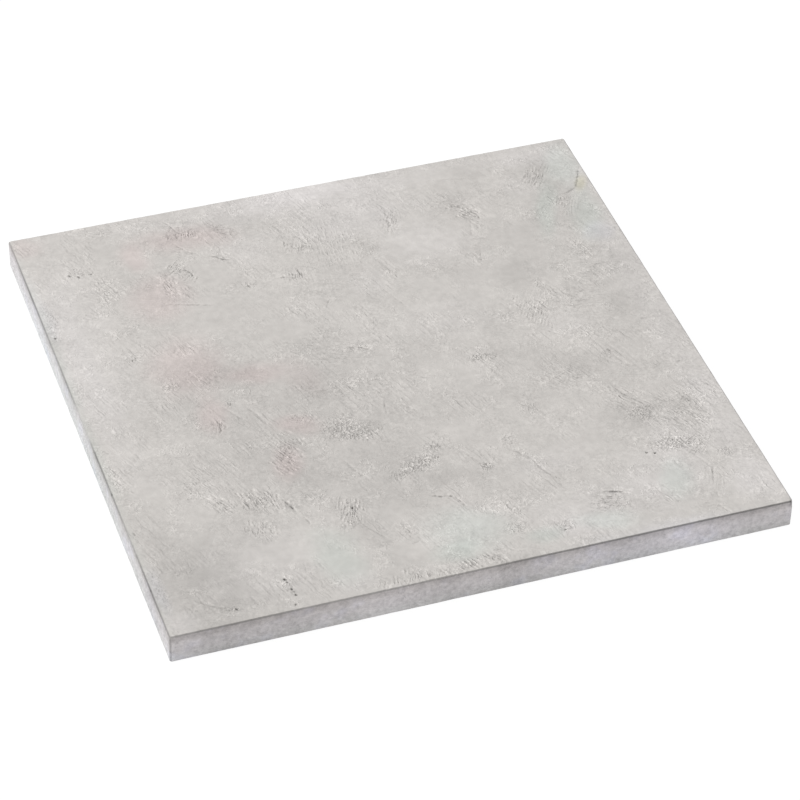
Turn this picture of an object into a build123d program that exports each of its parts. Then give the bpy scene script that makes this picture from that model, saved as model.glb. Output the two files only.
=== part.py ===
"""Square concrete paving slab, cast and pressed in one piece, lying on its bed face.

Millimetres, +Z up. The origin is the middle of the bed face, X and Y run along the sides.
"""

import os

from build123d import *

# Slab
slab_length = 600.0  # along X, side face to side face
slab_width = 600.0  # along Y, side face to side face
slab_thickness = 30.0  # bed face to wearing face

# Arrises
wearing_arris = 1.5  # both legs of the bevel round the wearing face
bed_arris = 0.5  # both legs of the bevel round the bed face
face_corner = 0.5  # radius of the wearing face's own corners, inside its bevel

# Upright corners are eased so far that the bevel turns round them and leaves the face its own radius.
corner_radius = wearing_arris + face_corner

# The pressed block: a square with eased corners, raised to the wearing face.
# The two bevels then run round its top and bottom rims, corners included.
with BuildPart() as paving_slab:
    with BuildSketch(Plane.XY):
        RectangleRounded(slab_length, slab_width, corner_radius)
    extrude(amount=slab_thickness)
    rims = paving_slab.faces().sort_by(Axis.Z)
    wearing_rim = rims[-1].edges()
    bed_rim = rims[0].edges()
    chamfer(wearing_rim, length=wearing_arris)
    chamfer(bed_rim, length=bed_arris)

paving_slab.part.label = "paving_slab"

os.makedirs("parts", exist_ok=True)
export_step(paving_slab.part, "parts/paving_slab.step")
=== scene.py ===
"""Looks of a cast concrete paving slab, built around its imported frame.

One piece stands for the plain solid: a block with crisp arrises whose wearing face is torn, combed and
pitted by the trowel, dressed in one stained concrete. Metres, +Z up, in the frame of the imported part.
"""

import logging
import math
from collections.abc import Callable, Iterator, Sequence
from dataclasses import dataclass
from enum import Enum
from functools import partial, reduce

import bmesh
import bpy
from mathutils import Matrix, Vector
from mathutils.kdtree import KDTree


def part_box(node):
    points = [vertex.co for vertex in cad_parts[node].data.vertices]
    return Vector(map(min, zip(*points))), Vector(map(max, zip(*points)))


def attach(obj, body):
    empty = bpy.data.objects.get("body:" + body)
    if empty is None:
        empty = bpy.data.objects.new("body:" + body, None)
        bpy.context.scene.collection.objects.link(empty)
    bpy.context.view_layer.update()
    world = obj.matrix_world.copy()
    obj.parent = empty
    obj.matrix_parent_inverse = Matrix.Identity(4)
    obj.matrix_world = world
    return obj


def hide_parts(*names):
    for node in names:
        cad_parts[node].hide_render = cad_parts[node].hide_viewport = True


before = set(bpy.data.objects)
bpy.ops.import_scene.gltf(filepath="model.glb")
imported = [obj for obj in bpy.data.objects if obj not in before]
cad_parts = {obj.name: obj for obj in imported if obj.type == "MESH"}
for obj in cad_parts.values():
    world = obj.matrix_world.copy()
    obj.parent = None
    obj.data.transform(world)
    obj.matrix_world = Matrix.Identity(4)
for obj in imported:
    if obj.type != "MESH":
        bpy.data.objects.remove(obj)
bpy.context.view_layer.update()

LOG = logging.getLogger("paving_slab")
MM = 0.001
WHITE = (1.0, 1.0, 1.0)
NODE = "paving_slab"
BODY = "root"

Place = tuple[float, float]
Span = tuple[float, ...]  # where a ramp starts and ends, then what it gives there if not 0 and 1
Mark = tuple[float, *tuple[Place, ...]]  # strength, then the few points of the path in millimetres
Colour = tuple[float, float, float]
Socket = bpy.types.NodeSocket


@dataclass(frozen=True)
class Noise:
    """A cloudy noise.

    Attributes:
        size: Usual size of one cloud, in millimetres.
        layers: Number of layers, each half the size of the one before.
        rough: Strength of each finer layer against the one before.
        seed: Picks other clouds of the same kind.
    """

    size: float
    layers: float = 3.0
    rough: float = 0.5
    seed: float = 0.0


@dataclass(frozen=True)
class Profile:
    """Cross-section of a mark, in millimetres.

    Attributes:
        half_width: From the middle of the groove to where it has mostly run out.
        depth: Depth of the groove.
        burr: Height of the ridge pushed up on the left of the path.
        lift: Height of the skim of mortar that ends at the path, on its left.
        broken: How far the mark fades out in places along its length, from 0 to 1.
    """

    half_width: float
    depth: float
    burr: float = 0.0
    lift: float = 0.0
    broken: float = 0.0


class Stroke(Enum):
    """The kinds of mark that the trowel leaves along a path."""

    TEAR = Profile(half_width=1.0, depth=0.85, burr=0.40, broken=0.5)
    CREASE = Profile(half_width=1.2, depth=0.44, burr=0.24, broken=0.65)
    SCRATCH = Profile(half_width=0.85, depth=0.52, burr=0.24, broken=0.55)
    LIP = Profile(half_width=1.0, depth=0.55, burr=0.15, lift=0.42, broken=0.65)
    PIT = Profile(half_width=1.15, depth=1.15, burr=0.12)


@dataclass(frozen=True)
class Ground:
    """How the wearing face differs in one kind of zone.

    Attributes:
        coarse: Added share of roughness, below 0 where the trowel closed the face.
        combed: Share of fine ridges along the zone's direction.
        pitted: Share of fine open pits.
        stroke: Usual length of the strokes that fill the zone, in millimetres, 0 for none.
        section: Cross-section of those strokes.
        spin: How far a bundle of strokes may turn from the zone's direction, in degrees.
    """

    coarse: float
    combed: float = 0.0
    pitted: float = 0.0
    stroke: float = 0.0
    section: Profile = Profile(0.8, 0.0)
    spin: float = 0.0


class Texture(Enum):
    """The kinds of zone on the wearing face."""

    SMOOTH = Ground(-0.8)
    ROUGH = Ground(0.7)
    DRAGGED = Ground(0.2, combed=0.9)
    COMBED = Ground(0.6, combed=1.0, stroke=11.0, section=Profile(0.95, 0.46, burr=0.46), spin=14.0)
    PITTED = Ground(0.7, pitted=1.0, stroke=1.8, section=Profile(0.9, 0.46, burr=0.48), spin=180.0)


class Tint(Enum):
    """Soft colours that stain the wearing face, as added shares of red, green and blue."""

    PINK = (0.016, -0.036, -0.030)
    GREEN = (-0.040, 0.010, -0.002)
    OCHRE = (-0.02, -0.03, -0.14)
    BLUE = (-0.02, -0.005, 0.035)
    PALE = (0.080, 0.080, 0.094)
    DUSK = (-0.100, -0.100, -0.100)


@dataclass(frozen=True)
class Patch:
    """A soft-edged patch of the wearing face, in millimetres and degrees.

    Attributes:
        x: Middle of the patch, from the middle of the face.
        y: The same along Y.
        long: Half length.
        wide: Half width.
        lean: Direction of the length, from +X towards +Y.
        weight: Strength against the usual patch of its kind.
        comb: Direction of the strokes in it, from +X towards +Y.
    """

    x: float
    y: float
    long: float
    wide: float
    lean: float = 0.0
    weight: float = 1.0
    comb: float = 0.0


def patches(*rows: tuple[float, ...]) -> tuple[Patch, ...]:
    """Makes patches from rows that hold x, y, long, wide and, where they matter, lean, weight and comb."""
    return tuple(Patch(*row) for row in rows)


PATHS: dict[Stroke, tuple[Mark, ...]] = {
    Stroke.TEAR: (
        (0.75, (-146, 288), (-138, 276), (-134, 264), (-127, 257)),
        (0.35, (-167, 260), (-170, 249), (-175, 238)),
        (0.7, (-142, 246), (-137, 236), (-131, 228), (-121, 222)),
        (1.0, (-114, 216), (-106, 212), (-101, 206), (-92, 203)),
        (0.55, (-34, 206), (-25, 202), (-15, 204)), (0.8, (-62, 161), (-48, 160), (-38, 155)),
        (0.9, (-34, 154), (-35, 163), (-36, 173)), (0.5, (148, 228), (155, 213), (163, 206)),
        (0.9, (160, 208), (167, 201), (167, 192)), (0.8, (-178, -28), (-176, -38), (-180, -49)),
        (0.4, (184, 36), (178, 28), (171, 18), (164, 9)),
        (1.3, (-152, -154), (-147, -165), (-144, -176)), (1.2, (134, -234), (145, -237), (156, -240)),
        (0.65, (248, -229), (243, -243), (239, -258)), (0.9, (232, -197), (237, -204), (243, -210)),
    ),
    Stroke.CREASE: (
        (1.0, (-166, 206), (-163, 196), (-165, 186), (-160, 175), (-158, 165)),
        (0.8, (-62, 199), (-60, 190), (-57, 182)),
        (1.1, (80, 229), (77, 219), (76, 211), (71, 200), (68, 193)),
        (0.8, (157, 191), (153, 179), (150, 168)), (0.6, (213, 191), (210, 178)),
        (1.0, (247, 246), (243, 236), (240, 228)), (1.0, (-166, -14), (-160, -25), (-152, -38)),
        (1.0, (-145, -15), (-141, -28), (-136, -42), (-133, -51)), (0.9, (-141, -56), (-136, -70)),
        (0.85, (-6, -57), (2, -65), (7, -72), (9, -79)), (0.5, (154, -26), (161, -40), (168, -53)),
        (1.0, (-219, -134), (-210, -148), (-202, -158)),
        (1.1, (-81, -119), (-76, -132), (-72, -143), (-67, -151)),
        (0.9, (30, -139), (34, -150), (40, -160)),
        (1.1, (-265, -261), (-257, -269), (-248, -276), (-236, -281)),
        (0.9, (-217, -270), (-213, -281)), (0.8, (220, -277), (230, -280)),
        (0.6, (-83, 55), (-60, 47), (-10, 23)), (0.6, (125, 272), (160, 266), (195, 257)),
    ),
    Stroke.SCRATCH: (
        (1.1, (-120, -83), (-121.5, -91)), (1.3, (-127, -97), (-125, -103)),
        (1.5, (-129.5, -105), (-128.5, -112)), (1.2, (-132, -115.5), (-129, -119)),
        (1.0, (-121, -103), (-114, -103.5)), (0.9, (-143, -119), (-144, -125)),
        (1.5, (-21, -190), (-10, -195), (0, -198), (4, -204), (7, -213), (10, -218)),
        (1.0, (120, -236), (131, -240)), (1.0, (120, -257), (134, -261)),
        (1.1, (-175, 154), (-155, 147), (-128, 137)), (0.7, (-225, 201), (-217, 199)),
        (1.0, (-26, 102), (-19, 114)), (0.7, (42, 101), (45, 92), (48, 84), (50, 77)),
        (0.9, (163, 187), (160, 176)), (0.8, (149, 164), (156, 162), (163, 163)),
        (0.9, (152, 147), (148, 135), (145, 124)), (1.0, (-183, 47), (-177, 31)),
        (0.8, (-189, 40), (-187, 30)), (0.7, (-186, -90), (-178, -106)),
        (1.0, (-21, -71), (-19, -61), (-16, -50)), (1.1, (-26, 38), (-12, 32), (-2, 24)),
        (1.1, (165, 8), (172, 1), (180, -7), (185, -11)),
        (0.75, (211, -47), (209, -56), (217, -64), (229, -71), (237, -75)),
        (1.0, (-139, -185), (-136, -196)), (0.9, (-199, -139), (-196, -154)),
        (0.9, (237, -265), (235, -278)), (0.7, (-158, -244), (-159, -256)),
        (0.7, (189, -250), (195, -265)), (0.9, (231, -282), (238, -297)), (0.6, (177, 52), (153, 23)),
    ),
    Stroke.LIP: (
        (1.4, (-140, 188), (-138, 193), (-142, 199), (-149, 202)),
        (1.0, (260, 208), (272, 210), (281, 216), (287, 228), (293, 240), (298, 252)),
        (0.75, (-72, -241), (-77, -233), (-84, -223), (-90, -212), (-93, -200), (-93, -187), (-91, -172)),
        (1.0, (119, -212), (111, -210), (104, -206), (98, -198), (92, -188), (90, -178),
         (86, -168), (78, -158), (70, -148)),
        (1.15, (223, -135), (218, -128), (211, -118), (203, -105), (199, -92)),
        (0.6, (-62, -246), (-54, -248), (-45, -245)), (0.55, (-37, -243), (-25, -237)),
    ),
    Stroke.PIT: (
        (1.1, (-293, 136), (-292, 133)), (0.6, (-294, -158), (-293, -163)),
        (0.95, (-256, 228), (-254, 224)), (0.8, (-247, 224), (-247, 219)),
        (0.75, (-236, 223), (-232, 223)), (0.6, (-249, 236), (-247, 234)),
        (0.6, (-242, 226.5), (-240, 224.5)), (0.6, (-232.5, 225), (-230.5, 224)),
        (0.6, (-234, 232), (-232, 230)), (0.6, (-89, 159), (-89, 155)),
        (1.2, (-134, -113), (-133, -114)), (0.8, (-116.5, -70), (-116.5, -71)),
        (0.7, (-119, -74), (-119, -75)), (0.8, (-123, -115), (-123, -116.5)),
        (0.75, (-231.5, 80), (-228.5, 80)), (0.6, (-15, 204), (-15, 202)),
        (0.7, (-43, 157), (-41, 157)), (0.6, (165, 200), (165, 197)), (0.6, (-159, -9), (-158, -13)),
        (0.65, (214, -41), (216, -42), (218, -46)), (0.6, (182, -9.5), (182, -10.5)),
        (0.55, (88, -12), (88, -14)), (0.8, (92, -16.5), (92, -17.5)),
        (0.6, (105, -14.5), (105, -15.5)), (0.6, (108, -18), (108, -20)),
        (1.0, (-93, -184), (-93, -188)), (1.0, (45, -165), (45, -167)), (0.9, (48, -169), (48, -171)),
        (0.7, (42, -168.5), (42, -169.5)), (0.9, (193.5, -195.5), (197, -196.5)),
        (1.3, (202, -197), (204, -199)), (1.3, (-181, -257), (-179.5, -260)),
        (1.0, (-180.5, -261), (-179, -263.5)), (0.7, (-185, -260), (-183, -262)),
        (0.8, (-180, -264), (-180, -265)), (1.0, (-180, -271), (-177, -274)),
        (0.7, (-179.5, -276), (-176.5, -278)), (1.0, (-178, -279.5), (-176, -282.5)),
        (0.9, (-181, -291), (-180, -294)), (1.0, (-234, -281), (-232, -284)),
        (0.7, (-237.5, -281), (-235, -281.5)), (0.8, (83, -272), (85, -274)),
    ),
}

ZONES: dict[Texture, tuple[Patch, ...]] = {
    Texture.SMOOTH: patches(
        (-130, 120, 70, 40), (-75, 80, 35, 25), (-120, 185, 30, 25), (110, 180, 60, 45),
        (150, 270, 60, 30), (110, 90, 70, 40), (190, 130, 40, 60), (140, -165, 45, 25),
        (40, -110, 25, 25), (-60, -205, 35, 20), (-170, -225, 80, 25), (-120, -260, 35, 25),
        (-60, -260, 25, 20), (-235, -170, 20, 30), (-250, -230, 20, 25), (-215, 250, 10, 30),
        (-190, 230, 10, 30), (70, -40, 15, 25), (-265, -110, 15, 40), (205, -230, 20, 15),
    ),
    Texture.ROUGH: patches(
        (-25, 222, 20, 12, 0, 0.7), (155, 170, 8, 18, 0, 0.9), (-5, -62, 16, 16, 0, 0.8),
        (-10, 28, 12, 10, 0, 0.6), (200, -55, 20, 14, 0, 0.6), (90, -178, 10, 24, 20, 0.9),
        (0, -203, 10, 9), (-146, -166, 8, 10, 0, 1.2), (230, -160, 50, 44, 0, 0.5),
        (252, -178, 20, 14, 0, 0.9), (-268, -265, 22, 28, 0, 0.6), (268, -100, 32, 160, 0, 0.55),
        (-235, 60, 50, 120, 0, 0.15), (200, 0, 70, 40, 0, 0.3), (0, 235, 60, 50, 0, 0.25),
        (40, 35, 30, 20, 0, 0.3), (-170, 15, 35, 30, 0, 0.4),
    ),
    Texture.DRAGGED: patches(
        (-45, 38, 60, 22, -20, 0.9, -20), (-30, -30, 50, 22, -10, 0.9, -13),
        (215, 45, 45, 30, 0, 0.8, -15), (-225, 190, 40, 25, 0, 0.7, -35),
        (160, -70, 45, 22, 0, 0.8, -55), (245, -150, 45, 40, 0, 0.9, -55),
        (-215, -110, 40, 40, 0, 0.7, -65), (10, 200, 45, 60, 0, 0.6, 86),
        (258, 95, 30, 42, 0, 0.9, -25),
    ),
    Texture.COMBED: patches(
        (-130, 258, 22, 8, 0, 1.5, 80), (-90, 255, 18, 12, -30, 1.2, -5),
        (-136, 228, 10, 16, 0, 0.8, -25), (-150, 206, 13, 9, -20, 1.3, 40),
        (-143, 195, 10, 9, 0, 1.6, 50), (-165, 180, 10, 28, 0, 1.0, -75),
        (-102, 208, 12, 8, -25, 0.9, -30), (-40, 160, 14, 12, 0, 1.1, 85),
        (-20, 203, 16, 8, 0, 1.2, 75), (78, 216, 10, 22, -15, 0.9, 65),
        (158, 206, 25, 11, -65, 1.4, -50), (248, 244, 12, 20, -20, 1.1, 60),
        (260, 190, 9, 24, 0, 0.7, 70), (-177, -38, 8, 13, 0, 1.1, 75),
        (-130, -98, 16, 32, -22, 1.2, -62), (-95, -55, 22, 11, -20, 0.8, -12),
        (-25, -25, 24, 8, -30, 0.5, -15), (168, 34, 17, 26, 0, 0.85, 58),
        (-170, -153, 28, 18, -25, 1.4, -80), (-206, -148, 18, 12, -40, 1.2, -60),
        (-184, -188, 18, 12, 0, 0.85, 74), (-98, -188, 12, 26, 0, 1.3, 70),
        (-125, -160, 20, 9, -10, 0.6, -10), (203, -116, 20, 26, 0, 0.85, -58),
        (245, -205, 12, 10, 0, 1.0, 40), (140, -246, 26, 15, 10, 1.0, -19),
        (243, -250, 8, 24, 0, 0.5, 76), (193, -262, 8, 9, 0, 0.7, -62), (-8, -289, 34, 9, 10, 1.5, -62),
        (-72, -291, 34, 6, 0, 1.2, 75),
    ),
    Texture.PITTED: patches(
        (-247, 227, 16, 11, 0, 0.7), (-291, -240, 8, 34, 0, 0.5), (-291, -85, 8, 30, 0, 0.5),
        (-291, 52, 8, 18, 0, 0.5), (-290, 168, 10, 42, 0, 0.4), (-88, 158, 8, 7, 0, 0.8),
        (250, 120, 14, 18, 0, 0.8), (-232, 80, 10, 10, 0, 0.6), (-205, 30, 12, 7, 0, 0.9),
        (-160, -10, 8, 8, 0, 0.8), (-62, -79, 34, 20, -20, 1.25), (188, 75, 7, 12, 0, 0.7),
        (95, -17, 17, 8), (213, -46, 9, 7, 0, 0.8), (112, -103, 13, 15, 0, 0.6),
        (77, -137, 10, 14, 0, 0.6), (45, -168, 9, 8, 0, 1.2), (-12, -146, 26, 12, 15, 1.4),
        (6, -128, 12, 10, 0, 1.1), (-38, -157, 14, 8, 0, 1.0), (-103, -208, 14, 8, 0, 0.7),
        (210, -142, 20, 14, 0, 0.9), (230, -192, 36, 13, -8, 1.3), (267, -216, 11, 8),
        (88, -268, 12, 10, 0, 1.1), (43, -256, 16, 12, 0, 0.9), (-181, -270, 7, 20, 0, 0.4),
        (-237, -283, 14, 8, 0, 0.6),
    ),
}

STAINS: dict[Tint, tuple[Patch, ...]] = {
    Tint.PINK: patches(
        (-130, 252, 65, 26, -8), (-186, 236, 18, 30, 12), (-178, 163, 40, 44), (-182, 55, 50, 58, 10),
        (-122, 26, 34, 20), (-180, -22, 19, 34), (-108, -58, 30, 17, -20), (-132, -110, 20, 32, -20),
        (-82, 10, 22, 40, 20, 0.5), (-289, 284, 22, 24, 0, 0.7),
    ),
    Tint.GREEN: patches(
        (-125, -246, 30, 46), (2, -244, 48, 34, -20), (-20, -270, 30, 18), (64, -274, 22, 14),
        (125, -272, 38, 17, -15), (208, -238, 20, 34, -15), (240, 190, 14, 58, -20),
        (280, 255, 22, 48, -14), (275, 170, 20, 50, -15), (-310, 40, 20, 430, 0, 1.0),
    ),
    Tint.OCHRE: patches(
        (288, 220, 8, 18, -25),
    ),
    Tint.BLUE: patches(
        (278, 138, 20, 20), (-294, 165, 9, 46, 0, 0.5), (-294, -240, 9, 40, 0, 0.8),
        (165, -312, 130, 26, 0, 0.7),
    ),
    Tint.PALE: patches(
        (-267, 130, 42, 170, 0, 0.6), (-272, -50, 28, 75, 0, 0.3), (100, 175, 60, 44, -20, 0.6),
        (10, 292, 75, 20, 0, 0.9), (0, -240, 52, 40, 0, 0.7), (100, -265, 45, 28, 0, 0.6),
        (190, -225, 52, 45, 0, 0.6), (272, -190, 28, 34, 0, 0.6), (-190, -235, 75, 58, 0, 0.4),
        (80, 50, 52, 40, 0, 0.35), (190, 10, 27, 27, 0, 0.45), (225, 232, 32, 26, 0, 0.4),
        (-78, 216, 32, 32, 0, 0.6), (0, 277, 130, 34, 0, 0.8), (40, 235, 70, 40, 0, 0.6),
        (290, 0, 34, 330, 0, 0.55), (285, -270, 40, 50, 0, 0.5), (285, 250, 30, 50, 0, 0.6),
        (150, -252, 120, 48, 0, 0.55), (-284, 85, 26, 130, 0, 0.6), (-20, 280, 45, 30, 0, 0.45),
        (80, 262, 60, 40, 0, 0.3), (255, 280, 45, 25, 0, 0.8), (-280, 180, 25, 60, 0, 0.35),
        (100, -180, 46, 24, 0, 0.5), (282, -125, 22, 34, 0, 0.55), (280, -255, 30, 40, 0, 0.4),
        (195, -310, 70, 20, 0, 1.6), (-90, -310, 30, 18, 0, 0.5), (-310, 215, 20, 95, 0, 1.7),
        (0, 288, 340, 28, 0, 0.5), (40, 228, 120, 28, 0, 0.35), (-278, 60, 24, 120, 0, 0.3),
        (228, -195, 32, 62, 0, 0.6), (112, -278, 55, 24, 0, 0.6), (278, -250, 26, 45, 0, 0.45),
        (-122, -280, 24, 22, 0, 0.6), (-285, -286, 24, 24, 0, 0.8), (25, 125, 30, 26, 0, 0.4),
    ),
    Tint.DUSK: patches(
        (-252, -258, 52, 64, 0, 1.5), (-100, -62, 110, 70, 15, 0.8), (-128, -116, 30, 28, 0, 0.45),
        (205, -140, 38, 30, 0, 0.7), (-150, 30, 58, 34, -20, 0.7), (-80, -5, 45, 28, 0, 0.5),
        (260, 25, 30, 28, 0, 0.8), (165, -52, 75, 28, -30, 0.7), (-40, -140, 75, 46, 0, 0.6),
        (-85, -220, 16, 40, 20, 0.8), (-120, 257, 65, 28, 0, 0.5), (255, 255, 24, 40, -20, 0.9),
        (155, 212, 20, 40, 20, 0.4), (255, 190, 40, 46, 0, 0.5), (287, 214, 16, 24, 0, 0.4),
        (215, 150, 40, 52, 0, 0.4), (175, 100, 34, 28, 0, 0.5), (115, -97, 20, 16, 0, 0.5),
        (20, -170, 45, 20, 0, 0.5), (145, -250, 24, 20, 0, 0.5), (85, 235, 40, 26, 50, 0.4),
        (180, 275, 27, 20, 0, 0.5), (-240, -212, 80, 48, -35, 0.55), (-178, 0, 80, 70, 0, 0.55),
        (-108, -132, 40, 30, 0, 0.5), (-30, -185, 90, 35, 0, 0.4), (-45, 35, 60, 40, 0, 0.3),
        (125, 25, 26, 24, 0, 0.5), (60, -75, 130, 35, 0, 0.45), (-75, -282, 30, 25, 0, 0.6),
        (-275, -175, 24, 30, 0, 0.5), (-222, -278, 26, 22, 0, 0.5), (-222, -78, 26, 24, 0, 0.5),
        (-178, -195, 34, 45, 0, 0.4), (-220, -310, 110, 20, 0, 0.85), (30, -310, 45, 20, 0, 1.25),
        (-125, -148, 32, 42, 0, 0.55), (-110, 40, 95, 60, 0, 0.25), (278, 78, 24, 26, 0, 0.45),
        (108, -5, 42, 34, 0, 0.3), (0, -180, 115, 60, 0, 0.25), (-195, -276, 52, 24, 0, 0.5),
        (-278, -215, 24, 36, 0, 0.35), (-178, -150, 32, 50, 0, 0.25),
    ),
}


class Sheet:
    """A node tree being drawn up, with short ways to add and join its nodes.

    Attributes:
        seed_step: How far one seed shifts a noise, in metres.
        noise_middle: Middle value of a noise.
    """

    seed_step: tuple[float, float, float] = (0.37, 0.53, 0.71)
    noise_middle: float = 0.5

    def __init__(self, tree: bpy.types.NodeTree) -> None:
        """Starts on an emptied tree."""
        self.tree = tree
        tree.nodes.clear()

    def add(self, kind: str, feeds: dict | None = None, **settings: object) -> bpy.types.Node:
        """Adds a node.

        Args:
            kind: Blender's name of the node type.
            feeds: A value or an output socket for each input, by its name or number.
            **settings: Attributes of the node, set before its inputs are fed.

        Returns:
            The new node.
        """
        node = self.tree.nodes.new(kind)
        for name, value in settings.items():
            setattr(node, name, value)
        for name, value in (feeds or {}).items():
            self.feed(node, name, value)
        return node

    def feed(self, node: bpy.types.Node, name: str | int, value: object) -> None:
        """Sets or links one input of a node.

        Args:
            node: The node.
            name: Name of the input, or its number.
            value: A plain value, or the output socket to link.
        """
        if isinstance(name, int):
            socket = node.inputs[name]
        else:
            socket = next(s for s in node.inputs if s.enabled and s.name == name)
        if isinstance(value, Socket):
            self.tree.links.new(value, socket)
        else:
            socket.default_value = value

    def math(self, operation: str, *values: object) -> Socket:
        """Works out a number from up to three numbers."""
        return self.add("ShaderNodeMath", dict(enumerate(values)), operation=operation).outputs[0]

    def product(self, *values: object) -> Socket:
        """Multiplies numbers."""
        return reduce(partial(self.math, "MULTIPLY"), values)

    def total(self, *values: object) -> Socket:
        """Adds up numbers."""
        return reduce(partial(self.math, "ADD"), values)

    def vector(self, operation: str, *values: object) -> Socket:
        """Works out a vector from up to three vectors."""
        node = self.add("ShaderNodeVectorMath", dict(enumerate(values)), operation=operation)
        return node.outputs["Vector"]

    def scaled(self, vector: object, factor: object) -> Socket:
        """Scales a vector by a number."""
        feeds = {"Vector": vector, "Scale": factor}
        return self.add("ShaderNodeVectorMath", feeds, operation="SCALE").outputs[0]

    def flat(self, vector: object, factor: float = 1.0) -> Socket:
        """Scales a vector along X and Y and takes its Z away."""
        return self.vector("MULTIPLY", vector, (factor, factor, 0.0))

    def drawn_out(self, place: object, slender: float) -> Socket:
        """Scales the place where a pattern is read, so that the pattern is drawn out along X."""
        return self.vector("MULTIPLY", place, (slender, 1.0, 1.0))

    def length(self, vector: object) -> Socket:
        """Measures a vector."""
        return self.add("ShaderNodeVectorMath", {0: vector}, operation="LENGTH").outputs["Value"]

    def turned(self, vector: object, angle: object) -> Socket:
        """Turns a vector about Z."""
        feeds = {0: vector, "Angle": angle}
        return self.add("ShaderNodeVectorRotate", feeds, rotation_type="Z_AXIS").outputs[0]

    def joined(self, x: object, y: object, z: object) -> Socket:
        """Puts a vector together."""
        return self.add("ShaderNodeCombineXYZ", {0: x, 1: y, 2: z}).outputs[0]

    def part(self, vector: object, axis: str) -> Socket:
        """Takes one part of a vector."""
        return self.add("ShaderNodeSeparateXYZ", {0: vector}).outputs[axis]

    def ramp(self, value: object, start: float, end: float, low: float = 0.0, high: float = 1.0) -> Socket:
        """Eases a number from one range into another.

        Args:
            value: The number.
            start: Value that gives low.
            end: Value that gives high.
            low: Result at the start and before it.
            high: Result at the end and past it.

        Returns:
            The eased number.
        """
        feeds = {"Value": value, "From Min": start, "From Max": end, "To Min": low, "To Max": high}
        return self.add("ShaderNodeMapRange", feeds, interpolation_type="SMOOTHSTEP").outputs[0]

    def blend(self, share: object, first: object, second: object) -> Socket:
        """Mixes two vectors."""
        feeds = {"Factor": share, "A": first, "B": second}
        return self.add("ShaderNodeMix", feeds, data_type="VECTOR").outputs[1]

    def clouds(self, place: object, noise: Noise) -> bpy.types.Node:
        """Adds a cloudy noise.

        Args:
            place: Where it is read.
            noise: Its kind.

        Returns:
            The noise node, with a factor and a colour.
        """
        if noise.seed:
            place = self.vector("ADD", place, tuple(step * noise.seed for step in self.seed_step))
        feeds = {"Vector": place, "Scale": 1.0 / (noise.size * MM)}
        feeds |= {"Detail": noise.layers - 1.0, "Roughness": noise.rough}
        return self.add("ShaderNodeTexNoise", feeds, noise_dimensions="3D")

    def cloud(self, place: object, noise: Noise) -> Socket:
        """A cloudy number about 0."""
        return self.math("SUBTRACT", self.clouds(place, noise).outputs["Fac"], self.noise_middle)

    def drift(self, place: object, noise: Noise) -> Socket:
        """A cloudy vector about 0."""
        return self.vector("SUBTRACT", self.clouds(place, noise).outputs["Color"], (self.noise_middle,) * 3)

    def patchy(self, place: object, noise: Noise, levels: Span) -> Socket:
        """A cloudy number that is eased between two levels of a noise."""
        return self.ramp(self.clouds(place, noise).outputs["Fac"], *levels)

    def worn(self, name: str, output: str = "Fac") -> Socket:
        """Reads what the mesh says about a place, for a material."""
        return self.add("ShaderNodeAttribute", attribute_name=name).outputs[output]


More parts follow.
